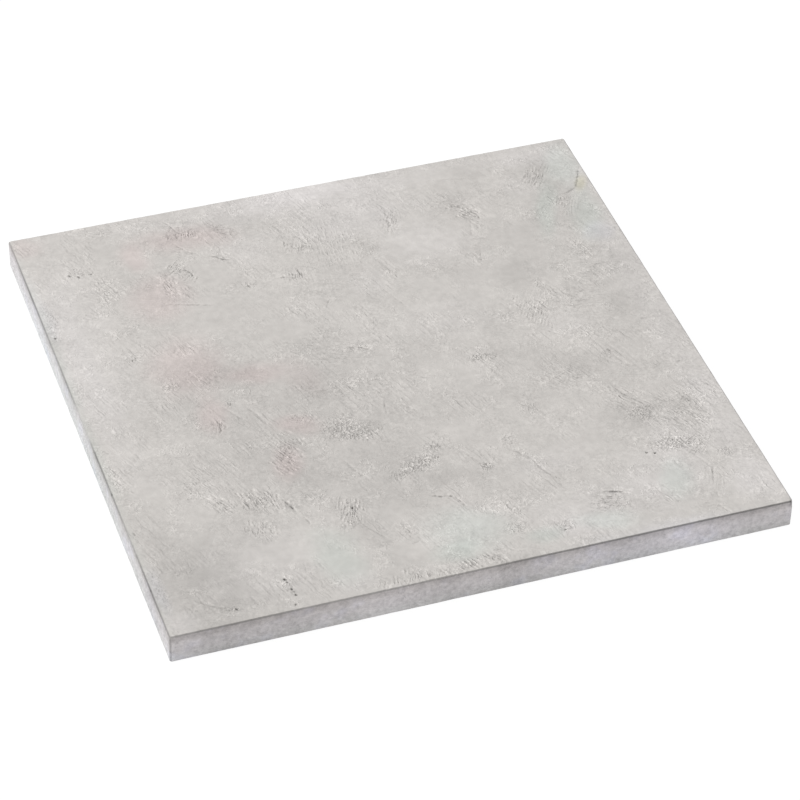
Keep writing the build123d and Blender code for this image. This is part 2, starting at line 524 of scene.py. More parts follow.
class NodeTool(Sheet):
    """A Geometry Nodes tree with named inputs, run once on an object to give a plain mesh."""

    def __init__(self, name: str, numbers: Sequence[str] = (), objects: Sequence[str] = ()) -> None:
        """Makes the tree with its geometry in and out.

        Args:
            name: Name of the tree.
            numbers: Names of the inputs that are numbers.
            objects: Names of the inputs that are objects.
        """
        super().__init__(bpy.data.node_groups.new(name, "GeometryNodeTree"))
        kinds = {"Geometry": "Geometry", "Material": "Material"}
        kinds |= dict.fromkeys(numbers, "Float") | dict.fromkeys(objects, "Object")
        for socket, kind in kinds.items():
            self.tree.interface.new_socket(socket, in_out="INPUT", socket_type="NodeSocket" + kind)
        self.tree.interface.new_socket("Geometry", in_out="OUTPUT", socket_type="NodeSocketGeometry")
        self.entry = self.tree.nodes.new("NodeGroupInput")
        self.place = self.add("GeometryNodeInputPosition").outputs[0]

    def given(self, name: str) -> Socket:
        """The value that comes in under a name."""
        return self.entry.outputs[name]

    def attribute(self, name: str, kind: str = "FLOAT") -> Socket:
        """Reads a named attribute of the geometry at hand."""
        return self.add("GeometryNodeInputNamedAttribute", {"Name": name}, data_type=kind).outputs[0]

    def store(self, geometry: object, name: str, value: object, kind: str = "FLOAT") -> Socket:
        """Keeps a value on the points of a geometry, under a name."""
        feeds = {"Geometry": geometry, "Name": name, "Value": value}
        return self.add("GeometryNodeStoreNamedAttribute", feeds, data_type=kind, domain="POINT").outputs[0]

    def fade(self, geometry: object, names: Sequence[str], *shares: object) -> Socket:
        """Multiplies numbers that a geometry carries.

        Args:
            geometry: The geometry.
            names: Names of the numbers.
            *shares: What they are multiplied by.

        Returns:
            The geometry with the new numbers.
        """
        for name in names:
            geometry = self.store(geometry, name, self.product(self.attribute(name), *shares))
        return geometry

    def moved(self, geometry: object, offset: object) -> Socket:
        """Moves the points of a geometry."""
        return self.add("GeometryNodeSetPosition", {"Geometry": geometry, "Offset": offset}).outputs[0]

    def chance(self, low: float, high: float, seed: int) -> Socket:
        """A random number for each point or instance."""
        feeds = {"Min": low, "Max": high, "Seed": seed}
        return self.add("FunctionNodeRandomValue", feeds, data_type="FLOAT").outputs["Value"]

    def geometry_of(self, name: str) -> Socket:
        """The geometry of the object that comes in under a name."""
        return self.add("GeometryNodeObjectInfo", {"Object": self.given(name)}).outputs["Geometry"]

    def nearest(self, geometry: object, place: object) -> Socket:
        """The number of the point of another geometry that is nearest to a place."""
        feeds = {"Geometry": geometry, "Sample Position": place}
        return self.add("GeometryNodeSampleNearest", feeds, domain="POINT").outputs[0]

    def sample(self, geometry: object, index: object, value: object, kind: str = "FLOAT") -> Socket:
        """Reads a value at one point of another geometry."""
        feeds = {"Geometry": geometry, "Value": value, "Index": index}
        return self.add("GeometryNodeSampleIndex", feeds, data_type=kind, domain="POINT").outputs[0]

    def bell(self, distance: object, width: object) -> Socket:
        """A soft bump of height 1 that runs out past a width."""
        share = self.math("DIVIDE", distance, width)
        return self.math("EXPONENT", self.product(share, share, -1.0))

    def copies(self, points: object, instance: object, **feeds: object) -> Socket:
        """Puts a copy of a geometry on each point, as plain geometry.

        Args:
            points: The points.
            instance: The geometry.
            **feeds: Scale and Rotation of the copies.

        Returns:
            All copies.
        """
        feeds |= {"Points": points, "Instance": instance}
        placed = self.add("GeometryNodeInstanceOnPoints", feeds).outputs[0]
        return self.add("GeometryNodeRealizeInstances", {"Geometry": placed}).outputs[0]

    def close(self, geometry: object) -> None:
        """Ends the tree in plain geometry with its material.

        Args:
            geometry: The finished geometry.
        """
        plain = self.add("GeometryNodeRealizeInstances", {"Geometry": geometry}).outputs[0]
        feeds = {"Geometry": plain, "Material": self.given("Material")}
        dressed = self.add("GeometryNodeSetMaterial", feeds)
        self.add("NodeGroupOutput", {"Geometry": dressed.outputs[0]})

    def run(self, obj: bpy.types.Object, values: dict[str, object]) -> bpy.types.Mesh:
        """Runs the tree on an object.

        Args:
            obj: Object that goes in, which is left as it was.
            values: Values of the tree's inputs, by name.

        Returns:
            A new plain mesh.
        """
        modifier = obj.modifiers.new(self.tree.name, "NODES")
        modifier.node_group = self.tree
        sockets = {s.name: s.identifier for s in self.tree.interface.items_tree if s.in_out == "INPUT"}
        for name, value in values.items():
            modifier[sockets[name]] = value
        depsgraph = bpy.context.evaluated_depsgraph_get()
        mesh = bpy.data.meshes.new_from_object(obj.evaluated_get(depsgraph))
        obj.modifiers.remove(modifier)
        return mesh


def linked(name: str, mesh: bpy.types.Mesh) -> bpy.types.Object:
    """Puts a mesh into the scene as an object at the origin.

    Args:
        name: Name of the object.
        mesh: Its mesh.

    Returns:
        The new object.
    """
    obj = bpy.data.objects.new(name, mesh)
    bpy.context.scene.collection.objects.link(obj)
    return obj


def helper(name: str, points: Sequence[Vector], layers: dict[str, Sequence],
           edges: Sequence[tuple[int, int]] = (),
           faces: Sequence[tuple[int, ...]] = ()) -> bpy.types.Object:
    """Makes an object that only feeds a node tree.

    Args:
        name: Name of the object.
        points: Its points, in metres.
        layers: A number or a vector for each point, by the name of its attribute.
        edges: Pairs of point numbers.
        faces: Rows of point numbers.

    Returns:
        The new object.
    """
    mesh = bpy.data.meshes.new(name)
    mesh.from_pydata(points, edges, faces)
    for layer, values in layers.items():
        if isinstance(values[0], (int, float)):
            mesh.attributes.new(layer, "FLOAT", "POINT").data.foreach_set("value", values)
        else:
            numbers = [n for value in values for n in value]
            mesh.attributes.new(layer, "FLOAT_VECTOR", "POINT").data.foreach_set("vector", numbers)
    return linked(name, mesh)


@dataclass
class TrowelMarks:
    """Everything that the trowel tore, combed or left open in the wearing face.

    Attributes:
        material: Concrete, which the node trees hand on.
        step: Distance between points along a path.
        sway: How far a path wanders from the line through its points.
        wander: Noise of that.
        path_taper: Shares of a path's half length where it has run out and where it is whole.
        path_breaks: Noise that breaks a path off.
        path_levels: Its levels where a path is broken and whole, and what they add to its strength.
        gap: Least distance between the bundles of strokes of a zone.
        density: Most bundles on a square metre, before the gap thins them out.
        pitch: Distance between the strokes of a bundle.
        stagger: How far each stroke of a bundle is set on, as a share of its length.
        spill: How far the edge of a zone frays.
        fray: Noise of that.
        bend: How far a stroke is bent.
        curl: Noise of that.
        stroke_taper: Shares of a stroke's length, from its middle, where it has run out and is whole.
        stroke_breaks: Noise that breaks a stroke off.
        stroke_levels: Its levels where a stroke is faint and strong, and its strength there.
        strengths: Weakest and strongest bundle.
        lengths: Shortest and longest bundle, as shares of the usual length.
        seed: Seed of the scattered strokes.
    """

    material: bpy.types.Material
    step: float = 1.0 * MM
    sway: float = 1.6 * MM
    wander: Noise = Noise(7.0, 3.0, 0.6)
    path_taper: Span = (1.15, 0.55)
    path_breaks: Noise = Noise(4.5, 2.0)
    path_levels: Span = (0.36, 0.6, -1.0, 0.15)
    gap: float = 7.4 * MM
    density: float = 400000.0
    pitch: float = 3.5 * MM
    stagger: float = 0.22
    spill: float = 9.0 * MM
    fray: Noise = Noise(12.0, 3.0, 0.6, 1.0)
    bend: float = 2.2 * MM
    curl: Noise = Noise(4.0, 2.0, 0.5, 2.0)
    stroke_taper: Span = (0.62, 0.2)
    stroke_breaks: Noise = Noise(4.0, 2.0, 0.5, 3.0)
    stroke_levels: Span = (0.36, 0.6, 0.3, 1.15)
    strengths: Place = (0.5, 1.3)
    lengths: Place = (0.6, 1.4)
    seed: int = 11

    def path_tool(self) -> NodeTool:
        """Draws up the tree that turns a few points into wandering, broken, tapered lines.

        Returns:
            The tree.
        """
        tool = NodeTool("mark_paths", ("Step", "Sway"))
        curve = tool.add("GeometryNodeMeshToCurve", {"Mesh": tool.given("Geometry")}).outputs[0]
        smooth = tool.add("GeometryNodeCurveSplineType", {"Curve": curve}, spline_type="CATMULL_ROM")
        feeds = {"Curve": smooth.outputs[0], "Length": tool.given("Step")}
        fine = tool.add("GeometryNodeResampleCurve", feeds, mode="LENGTH").outputs[0]
        share = tool.add("GeometryNodeSplineParameter").outputs["Factor"]
        from_middle = tool.math("ABSOLUTE", tool.math("MULTIPLY_ADD", share, 2.0, -1.0))
        taper = tool.ramp(from_middle, *self.path_taper)
        breaks = tool.patchy(tool.place, self.path_breaks, self.path_levels)
        kept = tool.math("MULTIPLY_ADD", breaks, tool.attribute("broken"), 1.0)
        sway = tool.scaled(tool.drift(tool.place, self.wander), tool.given("Sway"))
        geometry = tool.moved(fine, tool.flat(sway, 2.0))
        geometry = tool.fade(geometry, ("depth", "burr", "lift"), taper, kept)
        tangent = tool.add("GeometryNodeInputTangent").outputs[0]
        geometry = tool.store(geometry, "along", tangent, "FLOAT_VECTOR")
        tool.close(tool.add("GeometryNodeCurveToMesh", {"Curve": geometry}).outputs[0])
        return tool

    def bundle(self, tool: NodeTool) -> Socket:
        """Draws up one bundle: three strokes of length 1 side by side.

        Args:
            tool: The tree at hand.

        Returns:
            The strokes, as lines of edges with a taper.
        """
        points, strokes = 5, 3
        step = 1.0 / (points - 1)
        feeds = {"Count": points, "Start Location": (-0.5, 0.0, 0.0), "Offset": (step, 0.0, 0.0)}
        line = tool.add("GeometryNodeMeshLine", feeds).outputs[0]
        from_middle = tool.math("ABSOLUTE", tool.part(tool.place, "X"))
        stroke = tool.store(line, "taper", tool.ramp(from_middle, *self.stroke_taper))
        across = tool.joined(self.stagger, tool.given("Pitch"), 0.0)
        start = tool.scaled(across, (1 - strokes) / 2.0)
        feeds = {"Count": strokes, "Start Location": start, "Offset": across}
        return tool.copies(tool.add("GeometryNodeMeshLine", feeds).outputs[0], stroke)

    def stroke_tool(self) -> NodeTool:
        """Draws up the tree that scatters bundles of short bent strokes over zones with frayed edges.

        Returns:
            The tree.
        """
        tool = NodeTool("zone_strokes", ("Gap", "Pitch", "Spill", "Bend", "Seed"))
        heights = ("depth", "burr")
        turn_seed, length_seed, strength_seed = 3, 4, 5
        feeds = {"Mesh": tool.given("Geometry"), "Distance Min": tool.given("Gap")}
        feeds |= {"Density Max": self.density, "Density Factor": tool.attribute("fill")}
        feeds["Seed"] = tool.given("Seed")
        spread = tool.add("GeometryNodeDistributePointsOnFaces", feeds, distribute_method="POISSON")
        spill = tool.scaled(tool.drift(tool.place, self.fray), tool.given("Spill"))
        points = tool.moved(spread.outputs["Points"], tool.flat(spill))
        aslant = tool.product(tool.attribute("spin"), tool.chance(-1.0, 1.0, turn_seed))
        points = tool.store(points, "turn", tool.total(tool.attribute("turn"), aslant))
        points = tool.fade(points, heights, tool.chance(*self.strengths, strength_seed))
        length = tool.product(tool.attribute("stroke"), tool.chance(*self.lengths, length_seed))
        size = tool.joined(length, 1.0, 1.0)
        spin = tool.joined(0.0, 0.0, tool.attribute("turn"))
        geometry = tool.copies(points, self.bundle(tool), Scale=size, Rotation=spin)
        kept = tool.patchy(tool.place, self.stroke_breaks, self.stroke_levels)
        geometry = tool.fade(geometry, heights, tool.product(kept, tool.attribute("taper")))
        turn = tool.attribute("turn")
        along = tool.joined(tool.math("COSINE", turn), tool.math("SINE", turn), 0.0)
        geometry = tool.store(geometry, "along", along, "FLOAT_VECTOR")
        bent = tool.scaled(tool.drift(tool.place, self.curl), tool.given("Bend"))
        tool.close(tool.moved(geometry, tool.flat(bent)))
        return tool

    def section(self, profile: Profile, weight: float) -> dict[str, float]:
        """A mark's section, in metres.

        Args:
            profile: Section of the usual mark.
            weight: Strength of this one.

        Returns:
            The values that its points carry.
        """
        heights = {"depth": profile.depth, "burr": profile.burr, "lift": profile.lift}
        values = {name: height * weight * MM for name, height in heights.items()}
        half_width = profile.half_width * math.sqrt(weight) * MM
        return values | {"half_width": half_width, "broken": profile.broken}

    def paths(self, name: str, strokes: Sequence[Stroke]) -> bpy.types.Object:
        """Makes the lines of some kinds of path.

        Args:
            name: Name of the object.
            strokes: The kinds.

        Returns:
            An object of edges only, which carries each mark's section on its points.
        """
        points: list[Vector] = []
        edges: list[tuple[int, int]] = []
        rows: list[dict[str, float]] = []
        for stroke in strokes:
            for weight, *places in PATHS[stroke]:
                edges += [(i, i + 1) for i in range(len(points), len(points) + len(places) - 1)]
                points += [Vector((x, y, 0.0)) * MM for x, y in places]
                rows += [self.section(stroke.value, weight)] * len(places)
        raw = helper(name, points, {key: [row[key] for row in rows] for key in rows[0]}, edges)
        values = {"Step": self.step, "Sway": self.sway, "Material": self.material}
        raw.data = self.path_tool().run(raw, values)
        return raw

    def strokes(self, name: str) -> bpy.types.Object:
        """Makes the strokes of the combed and pitted zones.

        Args:
            name: Name of the object.

        Returns:
            An object of edges only, like those of the paths.
        """
        sides = 16
        core, rim = 0.65, 1.15
        points: list[Vector] = []
        faces: list[tuple[int, ...]] = []
        rows: list[dict[str, float]] = []
        filled = [kind for kind in Texture if kind.value.stroke]
        for ground, patch in [(kind.value, patch) for kind in filled for patch in ZONES[kind]]:
            first = len(points)
            middle = Vector((patch.x, patch.y, 0.0))
            lean = Matrix.Rotation(math.radians(patch.lean), 3, "Z")
            points.append(middle * MM)
            for reach in (core, rim):
                for k in range(sides):
                    angle = 2.0 * math.pi * k / sides
                    spoke = Vector((patch.long * math.cos(angle), patch.wide * math.sin(angle), 0.0)) * reach
                    spoke.rotate(lean)
                    points.append((middle + spoke) * MM)
            for k in range(sides):
                near, far = first + 1 + k, first + 1 + (k + 1) % sides
                faces += [(first, near, far), (near, near + sides, far + sides, far)]
            row = self.section(ground.section, patch.weight)
            row |= {"turn": math.radians(patch.comb), "spin": math.radians(ground.spin)}
            row["stroke"] = ground.stroke * MM
            rows += [row | {"fill": 1.0}] * (sides + 1) + [row | {"fill": 0.0}] * sides
        raw = helper(name, points, {key: [row[key] for row in rows] for key in rows[0]}, faces=faces)
        values = {"Gap": self.gap, "Pitch": self.pitch, "Spill": self.spill, "Bend": self.bend}
        values |= {"Seed": self.seed, "Material": self.material}
        raw.data = self.stroke_tool().run(raw, values)
        return raw


@dataclass
class SlabBlock:
    """The bare block: a square plan with eased corners, bevelled arrises and cells that suit the marks.

    Attributes:
        low: Lowest corner of the solid.
        high: Highest corner of the solid.
        corner_radius: Radius of the upright corners.
        wearing_arris: Legs of the bevel round the wearing face.
        bed_arris: Legs of the bevel round the bed face.
        cells: Cells along a side, before any is divided.
        bed_stride: Cells of a side that meet one cell of the bed face.
        arc_steps: Straight steps in an upright corner.
        flank_rows: Rows of cells up a side.
        finest: Size of the cells at a mark.
        growth: How fast cells may grow with the distance from a mark.
        corner_line: Share of the dark line along an arris that an upright corner has.
        edge_line_and_foot_shade: How dark the line along the front, right, back and left arrises is, and the
            painted shade along the foot, at shares of their length.
    """

    low: Vector
    high: Vector
    corner_radius: float = 2.0 * MM
    wearing_arris: float = 1.5 * MM
    bed_arris: float = 0.5 * MM
    cells: int = 170
    bed_stride: int = 5
    arc_steps: int = 4
    flank_rows: int = 4
    finest: float = 0.7 * MM
    growth: float = 0.8
    corner_line: float = 0.85
    edge_line_and_foot_shade: tuple[tuple[Place, ...], ...] = (
        ((-1.0, 0.85), (-0.75, 1.05), (-0.6, 0.9), (-0.1, 0.9), (0.1, 1.15), (0.5, 1.3), (1.0, 1.3)),
        ((-1.0, 0.2), (1.0, 0.2)),
        ((-1.0, 0.2), (0.75, 0.2), (0.92, 1.0), (1.0, 1.4)),
        ((-1.0, 0.75), (-0.7, 1.35), (-0.45, 0.95), (-0.2, 1.05), (-0.05, 0.45), (0.05, 0.35),
         (0.14, 1.25), (0.4, 1.0), (0.55, 0.65), (0.77, 1.25), (1.0, 1.0)),
    )

    def straight(self) -> Vector:
        """Half the straight run of each side, from the middle to where a corner starts."""
        half = (self.high - self.low) / 2.0
        return Vector((half.x - self.corner_radius, half.y - self.corner_radius))

    def stop(self, i: int) -> float:
        """Share of the straight run at a grid line, from -1 to 1."""
        return 2.0 * i / self.cells - 1.0

    def darkening_share(self, side: int, stop: float) -> float:
        """How dark the arris line, and the painted shade along the foot, are along a side.

        Args:
            side: Front, right, back or left, counted from 0.
            stop: Share of the straight run, from -1 to 1.

        Returns:
            The share, 1 for a usual dark arris.
        """
        levels = self.edge_line_and_foot_shade[side]
        for (start, first), (end, last) in zip(levels, levels[1:]):
            if stop <= end:
                return first + (last - first) * (stop - start) / (end - start)
        return levels[-1][1]

    def ring(self, inset: float, z: float) -> Iterator[tuple[Vector, float, bool]]:
        """Walks once round the plan, starting along the front.

        Args:
            inset: How far inside the outline.
            z: Height.

        Yields:
            The points, as many for each inset, how dark the arris is there and whether it is a corner.
        """
        run = self.straight()
        radius = self.corner_radius - inset
        for side in range(4):
            outward = math.radians(90.0 * side - 90.0)
            normal = Vector((round(math.cos(outward)), round(math.sin(outward))))
            ahead = Vector((-normal.y, normal.x))
            for i in range(self.cells + 1):
                flat = normal * run + ahead * run * self.stop(i) + normal * radius
                yield Vector((flat.x, flat.y, z)), self.darkening_share(side, self.stop(i)), False
            for k in range(1, self.arc_steps):
                angle = outward + math.pi / 2.0 * k / self.arc_steps
                flat = (normal + ahead) * run + Vector((math.cos(angle), math.sin(angle))) * radius
                yield Vector((flat.x, flat.y, z)), self.darkening_share((side + 1) % 4, -1.0), True

    def rows(self) -> Iterator[tuple[float, float, dict[str, float]]]:
        """Rings from the wearing face down to the bed.

        Yields:
            Inset, height and the shares of each zone at that ring.
        """
        top, bottom = self.high.z, self.low.z
        bevel, foot = self.wearing_arris, self.bed_arris
        yield bevel, top, {"wearing": 1.0, "arris": 0.4}
        for down in (0.25, 0.75):
            yield bevel * (1.0 - down), top - bevel * down, {"arris": 1.0, "flank": down}
        yield 0.0, top - bevel, {"arris": 0.4, "flank": 1.0}
        tall = top - bevel - bottom - foot
        for row in range(1, self.flank_rows):
            yield 0.0, top - bevel - tall * row / self.flank_rows, {"flank": 1.0}
        # Painted shade along the foot, through the share of the arris line that the lowest rings carry.
        yield 0.0, bottom + foot, {"flank": 1.0, "arris": 0.05}
        yield foot, bottom, {"flank": 1.0, "bed": 0.5, "arris": 0.3}

    def mesh(self, marks: Sequence[Vector]) -> bpy.types.Mesh:
        """Builds the block.

        Args:
            marks: Places that need the finest cells.

        Returns:
            The mesh, with the shares of its zones on its points.
        """
        bm = bmesh.new()
        layers = {n: bm.verts.layers.float.new(n) for n in ("wearing", "arris", "edge_line_and_foot_shade", "flank", "bed")}
        rings = []
        for inset, z, zones in self.rows():
            verts = []
            for place, edge_line_and_foot_shade, on_corner in self.ring(inset, z):
                vert = bm.verts.new(place)
                for name, share in zones.items():
                    vert[layers[name]] = share
                line = max(vert[layers["arris"]], self.corner_line * on_corner)
                vert[layers["arris"]] = line
                vert[layers["edge_line_and_foot_shade"]] = line * edge_line_and_foot_shade
                verts.append(vert)
            rings.append(verts)
        for upper, lower in zip(rings, rings[1:]):
            for j in range(len(upper)):
                k = (j + 1) % len(upper)
                bm.faces.new((upper[j], lower[j], lower[k], upper[k]))
        self.fill(bm, rings[0], self.high.z, layers["wearing"], stride=1)
        self.fill(bm, rings[-1], self.low.z, layers["bed"], self.bed_stride)
        bmesh.ops.recalc_face_normals(bm, faces=bm.faces)
        self.refine(bm, marks)
        mesh = bpy.data.meshes.new("slab_block")
        bm.to_mesh(mesh)
        bm.free()
        return mesh

    def fill(self, bm: bmesh.types.BMesh, rim: Sequence[bmesh.types.BMVert], z: float,
             layer: bmesh.types.BMLayerItem, stride: int) -> None:
        """Closes the wearing or the bed face with a grid inside its rim.

        Args:
            bm: The mesh at hand.
            rim: Points of the rim.
            z: Height of the face.
            layer: Zone that the grid's points belong to.
            stride: Cells of a side that meet one cell of the grid.
        """
        run = self.straight()
        count = self.cells // stride
        grid = {}
        for i in range(count + 1):
            for j in range(count + 1):
                vert = bm.verts.new((run.x * self.stop(i * stride), run.y * self.stop(j * stride), z))
                vert[layer] = 1.0
                grid[i, j] = vert
        for i in range(count):
            for j in range(count):
                bm.faces.new((grid[i, j], grid[i + 1, j], grid[i + 1, j + 1], grid[i, j + 1]))
        border = (
            lambda i: grid[i, 0],
            lambda i: grid[count, i],
            lambda i: grid[count - i, count],
            lambda i: grid[0, count - i],
        )
        for side in range(4):
            start = side * (self.cells + self.arc_steps)
            for i in range(count):
                first = start + i * stride
                outer = rim[first:first + stride + 1]
                bm.faces.new((border[side](i), border[side](i + 1), *reversed(outer)))
            for k in range(self.arc_steps):
                near = rim[start + self.cells + k]
                far = rim[(start + self.cells + k + 1) % len(rim)]
                bm.faces.new((border[side](count), near, far))

    def refine(self, bm: bmesh.types.BMesh, places: Sequence[Vector]) -> None:
        """Divides cells of the wearing face and its arris until they are small enough at some places.

        Args:
            bm: The mesh at hand.
            places: The places.
        """
        tree = KDTree(len(places))
        for i, place in enumerate(places):
            tree.insert(place, i)
        tree.balance()
        clear = 1.6 * self.finest
        slack = 1.4
        rounds = 3
        lowest = self.high.z - 2.0 * self.wearing_arris
        for _ in range(rounds):
            long_edges = []
            for edge in bm.edges:
                middle = (edge.verts[0].co + edge.verts[1].co) / 2.0
                if middle.z > lowest:
                    wanted = self.finest + self.growth * max(0.0, tree.find(middle)[2] - clear)
                    if edge.calc_length() > slack * wanted:
                        long_edges.append(edge)
            if not long_edges:
                break
            bmesh.ops.subdivide_edges(bm, edges=long_edges, cuts=1, use_grid_fill=True)


@dataclass(frozen=True)
class FineRelief:
    """Relief of the wearing face that is finer than the mesh, with the tone that goes with it, which on
    combs and pits is partly painted light and shade.

    Attributes:
        warp: Noise that bends the patterns.
        warp_reach: How far it bends them.
        uneven: Noise of calm and open ground.
        uneven_share: Its strength, in shares of the usual roughness.
        calm: Least roughness, in such shares.
        crumb: Noise of the grains.
        crumb_height: Height that a full grain would have.
        crumb_tone: Share of the colour that it adds.
        drag: Directions of the ridges that the trowel drew, in degrees from +X towards -Y, and noises.
        drag_slender: Width of those ridges against their length.
        drag_where: Noise that shares the ground out among the two directions.
        drag_levels: Its levels where the second and the first direction has all.
        drag_height: Height that a full ridge would have.
        comb: Noise of the ridges in a combed zone.
        comb_slender: Width of those ridges against their length.
        comb_height: Height that a full one would have.
        swerve: Noise that bends them.
        swerve_reach: How far it bends them.
        breaks: Noise that breaks them off.
        break_levels: Its levels where they are gone and whole.
        pit: Noise of the pits in a pitted zone.
        pit_height: Height that the rim of a full pit would have.
        mark_tone_light_and_shade: Share of the colour that a full ridge of a comb or rim of a pit adds and
            its hollow takes away, partly the marks' tone and partly painted light and shade.
        fleck: Noise of the pale flecks of an open face.
        fleck_levels: Its levels away from a fleck and on it.
        open_levels: Roughness of a closed and an open face, and the share of flecks there.
        fleck_height: Height of a fleck.
        fleck_tone: Share of the colour that it adds.
        smear: Noise of thin winding smears, and noise of where they show.
        crack: The same for cracks.
        crack_share: Depth of a crack against the height of a smear.
        vein_levels: Levels of the first noise beside a smear or crack and on it.
        vein_where: Levels of the second noise where it is gone and whole.
        vein_height: Height of a smear.
        vein_tone: Share of the colour that a smear adds.
    """

    warp: Noise = Noise(9.0)
    warp_reach: float = 5.0 * MM
    uneven: Noise = Noise(30.0, seed=12.0)
    uneven_share: float = 3.2
    calm: float = 0.12
    crumb: Noise = Noise(3.3, rough=0.42)
    crumb_height: float = 0.45 * MM
    crumb_tone: float = 0.22
    drag: tuple[tuple[float, Noise], ...] = (
        (17.0, Noise(3.0, 2.0, seed=1.0)),
        (70.0, Noise(3.0, 2.0, seed=2.0)),
    )
    drag_slender: float = 0.09
    drag_where: Noise = Noise(45.0, 2.0, seed=3.0)
    drag_levels: Span = (0.38, 0.54)
    drag_height: float = 1.1 * MM
    comb: Noise = Noise(2.1, 2.0, seed=5.0)
    comb_slender: float = 0.16
    comb_height: float = 2.4 * MM
    swerve: Noise = Noise(6.0, 2.0)
    swerve_reach: float = 2.6 * MM
    breaks: Noise = Noise(7.0, 2.0, seed=4.0)
    break_levels: Span = (0.38, 0.56)
    pit: Noise = Noise(1.8, 2.0, seed=6.0)
    pit_height: float = 2.0 * MM
    mark_tone_light_and_shade: float = 0.8
    fleck: Noise = Noise(2.8, 2.0, seed=11.0)
    fleck_levels: Span = (0.06, 0.17)
    open_levels: Span = (1.0, 2.0, 0.0, 0.7)
    fleck_height: float = 0.16 * MM
    fleck_tone: float = 0.17
    smear: tuple[Noise, Noise] = (Noise(7.0, 3.0, 0.6, 7.0), Noise(20.0, 2.0, seed=8.0))
    crack: tuple[Noise, Noise] = (Noise(7.0, 3.0, 0.6, 9.0), Noise(20.0, 2.0, seed=10.0))
    crack_share: float = 0.4
    vein_levels: Span = (0.055, 0.01)
    vein_where: Span = (0.0, 0.13)
    vein_height: float = 0.20 * MM
    vein_tone: float = 0.14

    def build(self, sheet: Sheet, place: object) -> tuple[Socket, Socket]:
        """Works out the relief.

        Args:
            sheet: The material's nodes.
            place: Where the patterns are read.

        Returns:
            The height and the tone, which is 1 on average.
        """
        bent = sheet.vector("ADD", place, sheet.scaled(sheet.drift(place, self.warp), self.warp_reach))
        uneven = sheet.product(sheet.cloud(place, self.uneven), self.uneven_share)
        coarse = sheet.math("MAXIMUM", sheet.total(sheet.worn("coarse"), uneven, 1.0), self.calm)
        pitted = sheet.worn("pitted")
        crumbs = sheet.product(sheet.cloud(bent, self.crumb), coarse)
        drag = sheet.product(self.dragged(sheet, place, bent), coarse)
        combs = self.combed(sheet, place)
        pits = sheet.product(sheet.cloud(bent, self.pit), pitted)
        open_face = sheet.total(pitted, sheet.ramp(coarse, *self.open_levels))
        flecks = sheet.product(sheet.ramp(sheet.cloud(bent, self.fleck), *self.fleck_levels), open_face)
        smears, cracks = (self.veins(sheet, bent, *noises) for noises in (self.smear, self.crack))
        veins = sheet.product(sheet.math("MULTIPLY_ADD", cracks, -self.crack_share, smears), coarse)
        heights = (
            (crumbs, self.crumb_height),
            (drag, self.drag_height),
            (combs, self.comb_height),
            (pits, self.pit_height),
            (veins, self.vein_height),
            (flecks, self.fleck_height),
        )
        height = sheet.total(*(sheet.product(pattern, scale) for pattern, scale in heights))
        # Combs and pits are paler on their ridges and darker in their hollows, partly as painted light and
        # shade.
        tones = (
            (sheet.total(combs, pits), self.mark_tone_light_and_shade),
            (veins, self.vein_tone),
            (flecks, self.fleck_tone),
            (crumbs, self.crumb_tone),
        )
        tone: object = 1.0
        for pattern, share in tones:
            tone = sheet.math("MULTIPLY_ADD", pattern, share, tone)
        return height, tone

    def dragged(self, sheet: Sheet, place: object, bent: object) -> Socket:
        """Long thin ridges in one of two directions.

        Args:
            sheet: The material's nodes.
            place: Where the share of each direction is read.
            bent: Where the ridges are read.

        Returns:
            The ridges, about 0.
        """
        first, second = (
            sheet.cloud(sheet.drawn_out(sheet.turned(bent, math.radians(turn)), self.drag_slender), noise)
            for turn, noise in self.drag
        )
        share = sheet.patchy(place, self.drag_where, self.drag_levels)
        rest = sheet.math("SUBTRACT", 1.0, share)
        return sheet.total(sheet.product(first, share), sheet.product(second, rest))

    def combed(self, sheet: Sheet, place: object) -> Socket:
        """Broken ridges along the direction of each combed zone.

        Args:
            sheet: The material's nodes.
            place: Where the bends and breaks are read.

        Returns:
            The ridges, about 0.
        """
        swerve = sheet.scaled(sheet.drift(place, self.swerve), self.swerve_reach)
        lie = sheet.vector("ADD", sheet.worn("lie", "Vector"), swerve)
        ridges = sheet.cloud(sheet.drawn_out(lie, self.comb_slender), self.comb)
        breaks = sheet.patchy(place, self.breaks, self.break_levels)
        return sheet.product(ridges, breaks, sheet.worn("combed"))

    def veins(self, sheet: Sheet, place: object, winding: Noise, where: Noise) -> Socket:
        """Thin winding lines that show in some places only.

        Args:
            sheet: The material's nodes.
            place: Where the pattern is read.
            winding: Noise whose middle value the lines follow.
            where: Noise of where they show.

        Returns:
            1 on a line, 0 away from it.
        """
        line = sheet.ramp(sheet.math("ABSOLUTE", sheet.cloud(place, winding)), *self.vein_levels)
        return sheet.product(line, sheet.ramp(sheet.cloud(place, where), *self.vein_where))


